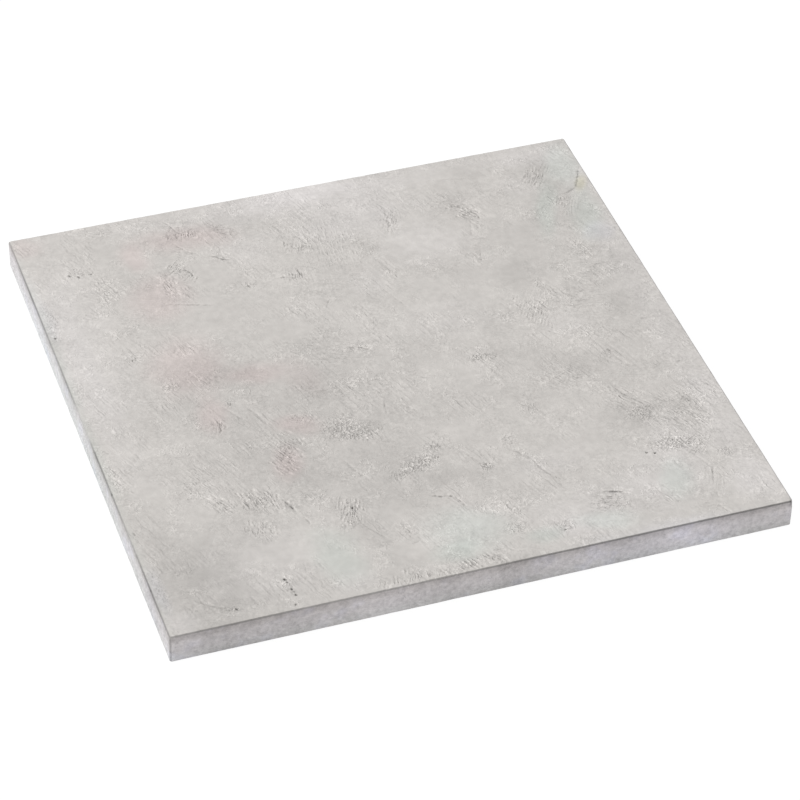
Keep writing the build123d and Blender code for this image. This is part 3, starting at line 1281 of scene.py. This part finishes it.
@dataclass(frozen=True)
class FlankFinish:
    """Mottled lilac grey of the sides, with a pale blue bloom, a green tinge and painted light at the foot,
    and a brown tint with painted shade under the arris.

    Attributes:
        colour: Usual colour, linear.
        fine: Noise of the mottling.
        fine_share: Its strength.
        broad: Noise of paler and darker stretches.
        broad_share: Its strength.
        bloom: Noise of the bloom.
        bloom_levels: Its levels where there is none and where it is full.
        bloom_tint: Shares of the colour in the bloom.
        foot: Heights where the tinge starts and where it is full, and how full.
        foot_tint_and_light: Shares of the colour in the tinge, which is greener and paler; the paleness is
            painted light.
        rim: Heights where the sides start to brown and darken under the arris and where they have; the
            darkening is painted shade.
        rim_tint_and_shade: Shares of the colour there.
    """

    colour: Colour = (0.610, 0.583, 0.588)
    fine: Noise = Noise(4.0, 4.0, 0.65, 1.0)
    fine_share: float = 0.9
    broad: Noise = Noise(60.0, 2.0, seed=2.0)
    broad_share: float = 0.25
    bloom: Noise = Noise(26.0, 3.0, 0.6, 3.0)
    bloom_levels: Span = (0.5, 0.68)
    bloom_tint: Colour = (1.04, 1.05, 1.10)
    foot: Span = (14.0 * MM, 3.0 * MM, 0.0, 0.8)
    foot_tint_and_light: Colour = (1.02, 1.05, 1.035)
    rim: Span = (15.0 * MM, 28.0 * MM)
    rim_tint_and_shade: Colour = (0.95, 0.935, 0.92)

    def build(self, sheet: Sheet, place: object) -> Socket:
        """Mixes the colour.

        Args:
            sheet: The material's nodes.
            place: Where the patterns are read.

        Returns:
            The colour.
        """
        fine = sheet.product(sheet.cloud(place, self.fine), self.fine_share)
        broad = sheet.product(sheet.cloud(place, self.broad), self.broad_share)
        height = sheet.part(place, "Z")
        mixed: object = self.colour
        tints = (
            (sheet.patchy(place, self.bloom, self.bloom_levels), self.bloom_tint),
            # Green tinge and painted light towards the foot.
            (sheet.ramp(height, *self.foot), self.foot_tint_and_light),
            # Brown tint and painted shade towards the top of the sides.
            (sheet.ramp(height, *self.rim), self.rim_tint_and_shade),
        )
        for share, tint in tints:
            mixed = sheet.vector("MULTIPLY", mixed, sheet.blend(share, WHITE, tint))
        return sheet.scaled(mixed, sheet.total(1.0, fine, broad))


@dataclass(frozen=True)
class ConcreteFinish:
    """Pale trowelled concrete, stained on top, mottled on its sides and dark along its arrises, with dirt
    and painted shade in its marks, painted shade along its foot and a painted highlight on its burrs.

    Attributes:
        relief: Fine relief of the wearing face.
        flank: Finish of the sides.
        face: Colour of the wearing face, linear.
        clouds: Noises of the soft clouds on the face, with their strengths.
        bed: Colour of the underside, linear.
        bed_mottle: Noise of its mottling.
        bed_share: Strength of that.
        arris: Share of the colour that is left along an arris, and along the foot, where the darkening is
            painted shade.
        dirt_and_shade: Share of the colour that dirt and painted shade take in the deepest marks.
        crest: Share of the colour that a burr adds as a painted highlight.
        specular: Level of the mirrored light.
        roughness: Usual roughness.
        gloss: Noise of duller and smoother spots.
        gloss_share: Its strength.
    """

    relief: FineRelief = FineRelief()
    flank: FlankFinish = FlankFinish()
    face: Colour = (0.6025, 0.577, 0.551)
    clouds: tuple[tuple[Noise, float], ...] = (
        (Noise(60.0, 2.0), 0.15),
        (Noise(20.0, 2.0), 0.14),
        (Noise(7.0, 2.0), 0.20),
    )
    bed: Colour = (0.52, 0.505, 0.48)
    bed_mottle: Noise = Noise(12.0, 5.0, 0.7)
    bed_share: float = 0.8
    arris: float = 0.52
    dirt_and_shade: float = 0.85
    crest: float = 0.10
    specular: float = 0.25
    roughness: float = 0.82
    gloss: Noise = Noise(22.0)
    gloss_share: float = 0.16

    def material(self) -> bpy.types.Material:
        """Builds the material.

        Returns:
            The finished material.
        """
        made = bpy.data.materials.new("trowelled_concrete")
        made.use_nodes = True
        sheet = Sheet(made.node_tree)
        place = sheet.add("ShaderNodeTexCoord").outputs["Object"]
        height, tone = self.relief.build(sheet, place)
        gloss = sheet.cloud(place, self.gloss)
        feeds = {
            "Specular IOR Level": self.specular,
            "Base Color": self.colour(sheet, place, tone),
            "Roughness": sheet.math("MULTIPLY_ADD", gloss, self.gloss_share, self.roughness),
            "Normal": sheet.add("ShaderNodeBump", {"Height": height, "Distance": 1.0}).outputs[0],
        }
        shader = sheet.add("ShaderNodeBsdfPrincipled", feeds)
        sheet.add("ShaderNodeOutputMaterial", {"Surface": shader.outputs[0]})
        return made

    def colour(self, sheet: Sheet, place: object, tone: object) -> Socket:
        """Mixes the colour.

        Args:
            sheet: The material's nodes.
            place: Where the patterns are read.
            tone: Tone of the finest relief, partly painted light and shade on combs and pits.

        Returns:
            The colour.
        """
        for noise, share in self.clouds:
            tone = sheet.product(tone, sheet.math("MULTIPLY_ADD", sheet.cloud(place, noise), share, 1.0))
        face = sheet.scaled(self.face, tone)
        mixed = sheet.blend(sheet.worn("flank"), face, self.flank.build(sheet, place))
        mixed = sheet.vector("MULTIPLY", mixed, sheet.vector("ADD", sheet.worn("stain", "Vector"), WHITE))
        mottle = sheet.math("MULTIPLY_ADD", sheet.cloud(place, self.bed_mottle), self.bed_share, 1.0)
        mixed = sheet.blend(sheet.worn("bed"), mixed, sheet.scaled(self.bed, mottle))
        # Dark arris line with painted shade along the foot, dirt and painted shade in the marks, painted
        # highlight on the burrs.
        shares = {"edge_line_and_foot_shade": self.arris - 1.0, "groove": -self.dirt_and_shade, "crest": self.crest}
        tones = (sheet.math("MULTIPLY_ADD", sheet.worn(name), share, 1.0) for name, share in shares.items())
        return sheet.scaled(mixed, sheet.product(*tones))


@dataclass
class PavingSlab:
    """The slab as it is seen: the block worked by the trowel and dressed in concrete.

    Attributes:
        finish: Its concrete.
        undulation: Height of the broad waves of the wearing face.
        waves: Noise of the broad waves.
        swells: Noise of smaller waves.
        swell_share: Their height against that of the broad waves.
        sweep: Height of the long low ridges that the trowel draws.
        sweeps: Noise of those ridges.
        sweep_turn: Their direction, in degrees from +X towards -Y.
        sweep_slender: Their width against their length.
        crust: Height of the small lumps of the wearing face.
        lumps: Noise of the lumps.
        calm: Least share of the lumps.
        ragged: How far the edges of marks are frayed.
        fray: Noise of that.
        lip_reach: How far a skim of mortar takes to run out behind its lip.
        dirt_and_shade_depth: Depths of a mark without darkening and with all of it; the darkening is dirt
            and painted shade.
        crest: Height of a burr that takes the whole painted highlight.
        skins: Noise, height and set of the unevenness of the arrises, the sides and the bed.
        chips: Places on the arrises, with a radius in millimetres, where they are chipped.
        chip_edge: Noise that frays a chip.
        chip_rim: Shares of a chip's radius where it starts and where it is deepest.
        chip_dirt_and_shade: Depths of a chip without darkening and with most of it, and the darkening there,
            which is dirt and painted shade.
        drifts: Noise that frays the patches.
        longest_fray: Most that a patch is frayed, in millimetres.
        patch_edge: Shares of a patch's reach where it has run out and where it is full.
        sharp: Angle between faces from which an edge stays sharp.
    """

    finish: ConcreteFinish
    undulation: float = 0.5 * MM
    waves: Noise = Noise(150.0, 2.0)
    swells: Noise = Noise(34.0)
    swell_share: float = 0.5
    sweep: float = 0.25 * MM
    sweeps: Noise = Noise(6.0, 2.0, seed=1.0)
    sweep_turn: float = 17.0
    sweep_slender: float = 0.14
    crust: float = 0.5 * MM
    lumps: Noise = Noise(5.5, 2.0, 0.45, 2.0)
    calm: float = 0.2
    ragged: float = 1.6 * MM
    fray: Noise = Noise(3.0)
    lip_reach: float = 9.0 * MM
    dirt_and_shade_depth: Span = (0.04 * MM, 1.4 * MM)
    crest: float = 0.2 * MM
    skins: tuple[tuple[str, Noise, float, float], ...] = (
        ("arris", Noise(11.0), 0.45 * MM, -0.06 * MM),
        ("flank", Noise(16.0, 2.0, seed=1.0), 0.4 * MM, -0.06 * MM),
        ("bed", Noise(45.0, 2.0, seed=2.0), 0.5 * MM, -0.2 * MM),
    )
    chips: tuple[tuple[float, float, float, float], ...] = (
        (-299.5, -101.0, 29.5, 1.7),
        (-299.5, -236.0, 29.5, 1.5),
        (299.2, -299.2, 29.3, 3.0),
    )
    chip_edge: Noise = Noise(1.8, 2.0)
    chip_rim: Span = (1.0, 0.2)
    chip_dirt_and_shade: Span = (0.0, 0.5 * MM, 0.0, 0.5)
    drifts: Noise = Noise(40.0, 4.0, 0.6)
    longest_fray: float = 36.0
    patch_edge: Span = (1.15, 0.25)
    sharp: float = 38.0

    def relief_tool(self) -> NodeTool:
        """Draws up the tree that works the block: marks, waves, chips and stains, with dirt and painted
        shade in the marks and chips and a painted highlight on the burrs.

        Returns:
            The tree.
        """
        sizes = ("Undulation", "Crust", "Sweep", "Ragged", "Lip reach")
        tool = NodeTool("trowelled_face", sizes, ("Paths", "Lips", "Strokes", "Chips", "Patches"))
        fray = tool.scaled(tool.drift(tool.place, self.fray), tool.given("Ragged"))
        probe = tool.flat(tool.vector("ADD", tool.place, fray))
        numbers, vectors = self.patchwork(tool)
        groove, ridge, dirt_and_shade_depth = self.grooves(tool, probe)
        lift, foot = self.lips(tool, probe)
        cut = tool.math("MAXIMUM", groove, foot)
        wearing = tool.attribute("wearing")
        height = tool.math("SUBTRACT", tool.total(ridge, lift, self.ground(tool, numbers["coarse"])), cut)
        bite = self.bites(tool)
        skin = tool.math("SUBTRACT", self.skin(tool), bite)
        normal = tool.add("GeometryNodeInputNormal").outputs[0]
        up = tool.joined(0.0, 0.0, tool.product(height, wearing))
        offset = tool.vector("ADD", up, tool.scaled(normal, skin))
        # Dirt and painted shade in the grooves, at the feet of the lips and in the chips, kept as groove.
        dirt_and_shade = tool.product(tool.ramp(tool.math("MAXIMUM", dirt_and_shade_depth, foot), *self.dirt_and_shade_depth), wearing)
        chipped = tool.ramp(bite, *self.chip_dirt_and_shade)
        geometry = tool.store(tool.given("Geometry"), "groove", tool.math("MAXIMUM", dirt_and_shade, chipped))
        # Painted highlight on the burrs.
        geometry = tool.store(geometry, "crest", tool.product(ridge, wearing, 1.0 / self.crest))
        for name, value in numbers.items():
            geometry = tool.store(geometry, name, tool.product(value, wearing))
        for name, value in vectors.items():
            geometry = tool.store(geometry, name, value, "FLOAT_VECTOR")
        tool.close(tool.moved(geometry, offset))
        return tool

    def mark_near(self, tool: NodeTool, name: str,
                  probe: object) -> tuple[Socket, Socket, Callable[[str], Socket]]:
        """Finds the nearest mark.

        Args:
            tool: The tree at hand.
            name: Input that holds the lines of the marks.
            probe: Place that looks for a mark.

        Returns:
            The distance, the signed distance to the left of the mark, and a reader of its attributes.
        """
        lines = tool.geometry_of(name)
        index = tool.nearest(lines, probe)
        feeds = {0: lines, "Sample Position": probe}
        distance = tool.add("GeometryNodeProximity", feeds, target_element="EDGES").outputs["Distance"]
        spot = tool.sample(lines, index, tool.place, "FLOAT_VECTOR")
        along = tool.sample(lines, index, tool.attribute("along", "FLOAT_VECTOR"), "FLOAT_VECTOR")
        away = tool.vector("SUBTRACT", probe, spot)
        aside = tool.part(tool.vector("CROSS_PRODUCT", along, away), "Z")

        def read(layer: str) -> Socket:
            """Reads an attribute of the nearest mark."""
            return tool.sample(lines, index, tool.attribute(layer))

        return distance, aside, read

    def grooves(self, tool: NodeTool, probe: object) -> tuple[Socket, Socket, Socket]:
        """Works out the grooves and burrs of paths and strokes.

        Args:
            tool: The tree at hand.
            probe: Place on the face, frayed.

        Returns:
            Depth of the grooves, height of the burrs and the depth that sets the dirt and painted shade in
            the grooves.
        """
        burr_aside, burr_reach = 1.9, 2.6
        depth: object = 0.0
        ridge: object = 0.0
        dirt_and_shade_depth: object = 0.0
        # Share of the dirt and painted shade that paths and strokes take.
        for name, darkening_share in (("Paths", 1.0), ("Strokes", 0.5)):
            distance, aside, read = self.mark_near(tool, name, probe)
            width = read("half_width")
            groove = tool.product(tool.bell(distance, width), read("depth"))
            depth = tool.math("MAXIMUM", depth, groove)
            dirt_and_shade_depth = tool.math("MAXIMUM", dirt_and_shade_depth, tool.product(groove, darkening_share))
            beside = tool.bell(tool.math("MULTIPLY_ADD", width, -burr_aside, aside), width)
            close = tool.bell(distance, tool.product(width, burr_reach))
            ridge = tool.math("MAXIMUM", ridge, tool.product(beside, close, read("burr")))
        return depth, ridge, dirt_and_shade_depth

    def lips(self, tool: NodeTool, probe: object) -> tuple[Socket, Socket]:
        """Works out the skims of mortar that end at a lip.

        Args:
            tool: The tree at hand.
            probe: Place on the face, frayed.

        Returns:
            Height of the skim and depth of the groove at its foot.
        """
        foot_aside, foot_reach, lip_edge = 0.5, 2.0, 0.5
        distance, aside, read = self.mark_near(tool, "Lips", probe)
        width = read("half_width")
        side = tool.ramp(tool.math("DIVIDE", aside, width), -lip_edge, lip_edge)
        share = tool.math("DIVIDE", distance, tool.given("Lip reach"))
        lift = tool.product(side, tool.math("EXPONENT", tool.product(share, -1.0)), read("lift"))
        beside = tool.bell(tool.math("MULTIPLY_ADD", width, foot_aside, aside), width)
        foot = tool.product(beside, tool.bell(distance, tool.product(width, foot_reach)), read("depth"))
        return lift, foot

    def ground(self, tool: NodeTool, coarse: object) -> Socket:
        """Works out the waves, sweeps and lumps of the wearing face.

        Args:
            tool: The tree at hand.
            coarse: Added share of roughness at a place.

        Returns:
            The height.
        """
        wave = tool.given("Undulation")
        broad = tool.product(tool.cloud(tool.place, self.waves), wave)
        swell = tool.product(tool.cloud(tool.place, self.swells), wave, self.swell_share)
        drawn = tool.drawn_out(tool.turned(tool.place, math.radians(self.sweep_turn)), self.sweep_slender)
        ridges = tool.product(tool.cloud(drawn, self.sweeps), tool.given("Sweep"))
        rough = tool.math("MAXIMUM", tool.total(coarse, 1.0), self.calm)
        lumps = tool.product(tool.cloud(tool.place, self.lumps), tool.given("Crust"), rough)
        return tool.total(broad, swell, ridges, lumps)

    def skin(self, tool: NodeTool) -> Socket:
        """Works out the slight unevenness of the arrises, the sides and the bed.

        Args:
            tool: The tree at hand.

        Returns:
            How far the skin stands proud.
        """
        parts = []
        for name, noise, height, rest in self.skins:
            proud = tool.math("MULTIPLY_ADD", tool.cloud(tool.place, noise), height, rest)
            parts.append(tool.product(tool.attribute(name), proud))
        return tool.total(*parts)

    def bites(self, tool: NodeTool) -> Socket:
        """Works out the chips in the arrises.

        Args:
            tool: The tree at hand.

        Returns:
            The depth of a chip.
        """
        edge_share, depth_share = 0.8, 0.4
        chips = tool.geometry_of("Chips")
        index = tool.nearest(chips, tool.place)
        spot = tool.sample(chips, index, tool.place, "FLOAT_VECTOR")
        radius = tool.sample(chips, index, tool.attribute("radius"))
        away = tool.math("DIVIDE", tool.length(tool.vector("SUBTRACT", tool.place, spot)), radius)
        edge = tool.math("MULTIPLY_ADD", tool.cloud(tool.place, self.chip_edge), edge_share, 1.0)
        return tool.product(tool.ramp(tool.product(away, edge), *self.chip_rim), radius, depth_share)

    def patchwork(self, tool: NodeTool) -> tuple[dict[str, Socket], dict[str, Socket]]:
        """Adds up the soft patches of colour and texture, one after the other.

        Args:
            tool: The tree at hand.

        Returns:
            The numbers and the vectors that each place carries, by name. Combing is faint where two combed
            zones are equally strong, because the directions along and across it change over there.
        """
        patches_in = tool.geometry_of("Patches")
        drift = tool.drift(tool.place, self.drifts)
        size = tool.add("GeometryNodeAttributeDomainSize", {"Geometry": patches_in}, component="MESH")
        start = tool.add("GeometryNodeRepeatInput")
        end = tool.add("GeometryNodeRepeatOutput")
        start.pair_with_output(end)
        end.repeat_items.clear()
        items = {"Tint": "VECTOR", "Coarse": "FLOAT", "Pitted": "FLOAT", "Combed": "FLOAT", "Rival": "FLOAT"}
        for name, kind in (items | {"Lie": "VECTOR"}).items():
            end.repeat_items.new(kind, name)
        tool.feed(start, "Iterations", size.outputs["Point Count"])
        number = start.outputs["Iteration"]
        stored = (tool.attribute(name, "FLOAT_VECTOR") for name in ("reach", "tint"))
        centre, reach, tint = (
            tool.sample(patches_in, number, value, "FLOAT_VECTOR") for value in (tool.place, *stored)
        )
        lean, coarse, fray, comb, combed, pitted = (
            tool.sample(patches_in, number, tool.attribute(name))
            for name in ("lean", "coarse", "fray", "comb", "combed", "pitted")
        )
        spot = tool.vector("ADD", tool.place, tool.scaled(drift, fray))
        flat = tool.flat(tool.vector("SUBTRACT", spot, centre))
        away = tool.length(tool.vector("DIVIDE", tool.turned(flat, tool.product(lean, -1.0)), reach))
        share = tool.ramp(away, *self.patch_edge)
        tool.feed(end, "Tint", tool.vector("ADD", start.outputs["Tint"], tool.scaled(tint, share)))
        for name, value in (("Coarse", coarse), ("Pitted", pitted)):
            tool.feed(end, name, tool.total(start.outputs[name], tool.product(value, share)))
        best, mine = start.outputs["Combed"], tool.product(combed, share)
        own = tool.turned(tool.vector("SUBTRACT", tool.place, centre), tool.product(comb, -1.0))
        wins = tool.math("GREATER_THAN", mine, best)
        rival = tool.math("MAXIMUM", start.outputs["Rival"], tool.math("MINIMUM", best, mine))
        tool.feed(end, "Lie", tool.blend(wins, start.outputs["Lie"], own))
        tool.feed(end, "Rival", rival)
        tool.feed(end, "Combed", tool.math("MAXIMUM", best, mine))
        clear = tool.math("SUBTRACT", end.outputs["Combed"], end.outputs["Rival"])
        numbers = {"coarse": end.outputs["Coarse"], "pitted": end.outputs["Pitted"], "combed": clear}
        return numbers, {"stain": end.outputs["Tint"], "lie": end.outputs["Lie"]}

    def chip_points(self) -> bpy.types.Object:
        """Makes the points where the arrises are chipped."""
        points = [Vector(chip[:3]) * MM for chip in self.chips]
        return helper("arris_chips", points, {"radius": [chip[3] * MM for chip in self.chips]})

    def patch_points(self) -> bpy.types.Object:
        """Makes one point for each stain and zone, which carries its size and effect.

        Returns:
            An object of points only.
        """
        plain = (0.0, 0.0, 0.0)
        rows = [(patch, tint.value, Ground(0.0)) for tint, group in STAINS.items() for patch in group]
        rows += [(patch, plain, zone.value) for zone, group in ZONES.items() for patch in group]
        layers = {
            "reach": [(p.long * MM, p.wide * MM, 1.0) for p, _, _ in rows],
            "lean": [math.radians(p.lean) for p, _, _ in rows],
            "tint": [tuple(share * p.weight for share in tint) for p, tint, _ in rows],
            "coarse": [zone.coarse * p.weight for p, _, zone in rows],
            "comb": [math.radians(p.comb) for p, _, _ in rows],
            "combed": [zone.combed * p.weight for p, _, zone in rows],
            "pitted": [zone.pitted * p.weight for p, _, zone in rows],
            "fray": [min(p.long, p.wide, self.longest_fray) * MM for p, _, _ in rows],
        }
        return helper("face_patches", [Vector((p.x, p.y, 0.0)) * MM for p, _, _ in rows], layers)

    def build(self) -> bpy.types.Object:
        """Builds and dresses the slab.

        Returns:
            The finished piece.
        """
        low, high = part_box(NODE)
        concrete = self.finish.material()
        marks = TrowelMarks(concrete)
        helpers = {
            "Paths": marks.paths("mark_lines", (Stroke.TEAR, Stroke.CREASE, Stroke.SCRATCH, Stroke.PIT)),
            "Lips": marks.paths("lip_lines", (Stroke.LIP,)),
            "Strokes": marks.strokes("zone_lines"),
            "Chips": self.chip_points(),
            "Patches": self.patch_points(),
        }
        rise = Vector((0.0, 0.0, high.z))
        spots = {name: [v.co.copy() for v in lines.data.vertices] for name, lines in helpers.items()}
        for name, places in spots.items():
            LOG.info("%s: %d points", name, len(places))
        drawn = spots["Paths"] + spots["Lips"] + spots["Strokes"]
        block = SlabBlock(low, high).mesh([place + rise for place in drawn] + spots["Chips"])
        raw = linked("slab_block", block)
        values = helpers | {"Undulation": self.undulation, "Crust": self.crust, "Sweep": self.sweep}
        values |= {"Ragged": self.ragged, "Lip reach": self.lip_reach, "Material": concrete}
        mesh = self.relief_tool().run(raw, values)
        for used in (raw, *helpers.values()):
            bpy.data.objects.remove(used)
        mesh.name = "concrete_slab"
        mesh.polygons.foreach_set("use_smooth", [True] * len(mesh.polygons))
        mesh.set_sharp_from_angle(angle=math.radians(self.sharp))
        slab = linked("concrete_slab", mesh)
        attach(slab, BODY)
        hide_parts(NODE)
        return slab


@dataclass(frozen=True)
class Lamp:
    """A broad square lamp.

    Attributes:
        name: Name of the lamp.
        level: Level that it adds to a face turned to it.
        turn: Direction that it stands in, in degrees from -X towards +Y.
        height: Elevation, in degrees.
        size: Side of the lamp, in metres.
        distance: Distance from the object, in metres.
    """

    name: str
    level: float
    turn: float
    height: float
    size: float
    distance: float = 12.0

    def build(self) -> None:
        """Hangs the lamp."""
        lamp = bpy.data.lights.new(self.name, "AREA")
        lamp.shape = "SQUARE"
        lamp.size = self.size
        lamp.energy = self.level * math.pi**2 * self.distance**2
        around, above = math.radians(self.turn), math.radians(self.height)
        flat = math.cos(above)
        towards = Vector((-math.cos(around) * flat, math.sin(around) * flat, math.sin(above)))
        obj = bpy.data.objects.new(self.name, lamp)
        obj.location = towards * self.distance
        obj.rotation_mode = "QUATERNION"
        obj.rotation_quaternion = towards.to_track_quat("Z", "Y")
        obj.visible_camera = False
        bpy.context.scene.collection.objects.link(obj)


@dataclass
class Studio:
    """Floor, light and camera.

    Attributes:
        lamps: Main lamp and front lamp.
        sky: Level of the even light from all round.
        floor_tone: Share of light that the floor gives back.
        floor_shadow: Share of the shadow that shows on the floor.
        floor_glow: Level of the floor where it shows as white.
        floor_reach: Half the side of the floor, in metres.
        floor_drop: How far the floor lies under the slab.
        azimuth: Direction of the camera, in degrees from -Y towards +X.
        elevation: Its height over the floor, in degrees.
        roll: How far it is tilted, in degrees.
        distance: Its distance, in metres.
        aside: How far it is set to the right, in metres.
        above: How far it is set up, in metres.
        film: Width of its film, in millimetres.
        lens: Its focal length, in millimetres.
        sight: How far it sees, in metres.
    """

    lamps: tuple[Lamp, ...] = (
        Lamp("key", 0.60, 22.0, 39.0, 6.0),
        Lamp("fill", 0.10, -80.0, 14.0, 5.5),
    )
    sky: float = 0.62
    floor_tone: float = 0.8
    floor_shadow: float = 0.14
    floor_glow: float = 1.09
    floor_reach: float = 30.0
    floor_drop: float = 0.2 * MM
    azimuth: float = -19.589
    elevation: float = 40.313
    roll: float = 1.382
    distance: float = 3.27595
    aside: float = 0.01592
    above: float = -0.01065
    film: float = 36.0
    lens: float = 151.38
    sight: float = 100.0

    def build(self) -> None:
        """Sets the stage."""
        self.world()
        for lamp in self.lamps:
            lamp.build()
        self.floor()
        self.camera()
        bpy.context.scene.view_settings.view_transform = "Standard"

    def seen(self, sheet: Sheet) -> Socket:
        """1 for rays that show the background as it is, 0 for rays that light the object.

        Args:
            sheet: The nodes at hand.

        Returns:
            The number.
        """
        path = sheet.add("ShaderNodeLightPath").outputs
        plain = sheet.math("MAXIMUM", path["Is Camera Ray"], path["Is Glossy Ray"])
        return sheet.math("MAXIMUM", plain, path["Is Transmission Ray"])

    def world(self) -> None:
        """Makes an even white surround."""
        world = bpy.data.worlds.new("white_surround")
        world.use_nodes = True
        sheet = Sheet(world.node_tree)
        level = sheet.math("MULTIPLY_ADD", self.seen(sheet), 1.0 - self.sky, self.sky)
        light = sheet.add("ShaderNodeBackground", {"Color": (*WHITE, 1.0), "Strength": level})
        sheet.add("ShaderNodeOutputWorld", {"Surface": light.outputs[0]})
        bpy.context.scene.world = world

    def floor(self) -> None:
        """Lays a plain white floor that keeps a soft shadow."""
        reach, drop = self.floor_reach, self.floor_drop
        corners = [(x * reach, y * reach, -drop) for x, y in ((-1, -1), (1, -1), (1, 1), (-1, 1))]
        mesh = bpy.data.meshes.new("floor")
        mesh.from_pydata(corners, [], [(0, 1, 2, 3)])
        paint = bpy.data.materials.new("white_floor")
        paint.use_nodes = True
        sheet = Sheet(paint.node_tree)
        tone = (self.floor_tone, self.floor_tone, self.floor_tone, 1.0)
        matt = sheet.add("ShaderNodeBsdfDiffuse", {"Color": tone})
        white = sheet.add("ShaderNodeEmission", {"Color": (*WHITE, 1.0), "Strength": self.floor_glow})
        share = sheet.math("MULTIPLY", self.seen(sheet), 1.0 - self.floor_shadow)
        both = sheet.add("ShaderNodeMixShader", {0: share, 1: matt.outputs[0], 2: white.outputs[0]})
        sheet.add("ShaderNodeOutputMaterial", {"Surface": both.outputs[0]})
        mesh.materials.append(paint)
        linked("floor", mesh)

    def camera(self) -> None:
        """Stands the camera at the photograph's viewing angle."""
        azimuth, elevation, roll = (math.radians(a) for a in (self.azimuth, self.elevation, self.roll))
        flat = math.cos(elevation)
        back = Vector((math.sin(azimuth) * flat, -math.cos(azimuth) * flat, math.sin(elevation)))
        right = (-back).cross(Vector((0.0, 0.0, 1.0))).normalized()
        up = right.cross(-back)
        tilted_right = right * math.cos(roll) + up * math.sin(roll)
        tilted_up = up * math.cos(roll) - right * math.sin(roll)
        data = bpy.data.cameras.new("camera")
        data.sensor_width = self.film
        data.lens = self.lens
        data.clip_end = self.sight
        obj = bpy.data.objects.new("camera", data)
        turn = Matrix((tilted_right, tilted_up, back)).transposed().to_4x4()
        stand = back * self.distance + tilted_right * self.aside + tilted_up * self.above
        obj.matrix_world = Matrix.Translation(stand) @ turn
        bpy.context.scene.collection.objects.link(obj)
        bpy.context.scene.camera = obj


def main() -> None:
    """Builds the slab and its stage, and notes the slab's triangles."""
    logging.basicConfig(level=logging.INFO, format="%(name)s: %(message)s")
    slab = PavingSlab(ConcreteFinish()).build()
    triangles = sum(len(p.vertices) - 2 for p in slab.data.polygons)
    LOG.info("%s: %d triangles", slab.name, triangles)
    Studio().build()


if __name__ == "__main__":
    main()
